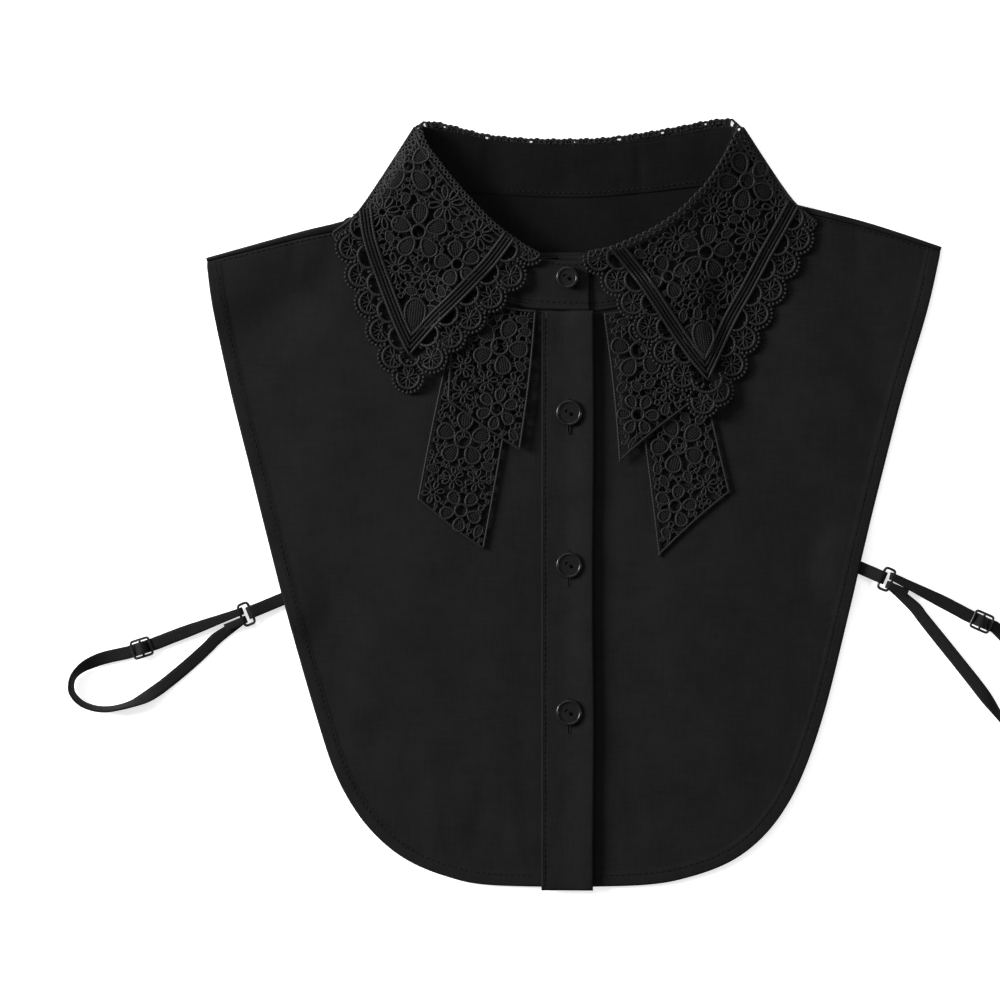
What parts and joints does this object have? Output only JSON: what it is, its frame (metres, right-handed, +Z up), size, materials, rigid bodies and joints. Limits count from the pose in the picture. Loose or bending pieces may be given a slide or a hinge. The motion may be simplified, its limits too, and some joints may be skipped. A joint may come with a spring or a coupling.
{
  "type": "detachable shirt-front collar with lace",
  "caption": "Detachable shirt front laid flat, with a pointed lace collar, lace tails, a buttoned placket and adjustable elastic loops at the sides.",
  "frame": {"origin": "centre of the bounding box, on the surface that the garment lies on", "axes": "+Z up from that surface, +Y from the hem towards the collar, +X towards the side that shows at the right from above, along the greatest length from strap to strap"},
  "size_m": [0.4604, 0.3628, 0.015],
  "materials": {
    "cotton": "matt woven cotton, black",
    "lace": "corded guipure lace, black, with a slight thread sheen",
    "button": "glossy",
    "elastic": "woven elastic, black, satin",
    "fitting": "satin black"
  },
  "bodies": {
    "root": {"back_panel": "cotton", "front_left": "cotton", "front_right": "cotton", "placket": "cotton", "collar_stand": "cotton", "lace_leaf_left": "lace", "lace_leaf_right": "lace", "lace_back": "lace", "tail_long_left": "lace", "tail_short_left": "lace", "tail_long_right": "lace", "tail_short_right": "lace", "button_neck": "button", "button_upper": "button", "button_middle": "button", "button_lower": "button", "strap_left": "elastic", "strap_right": "elastic", "tab_left": "elastic", "tab_right": "elastic", "ring_left": "fitting", "ring_right": "fitting", "slider_left": "fitting", "slider_right": "fitting"}
  },
  "joints": []
}
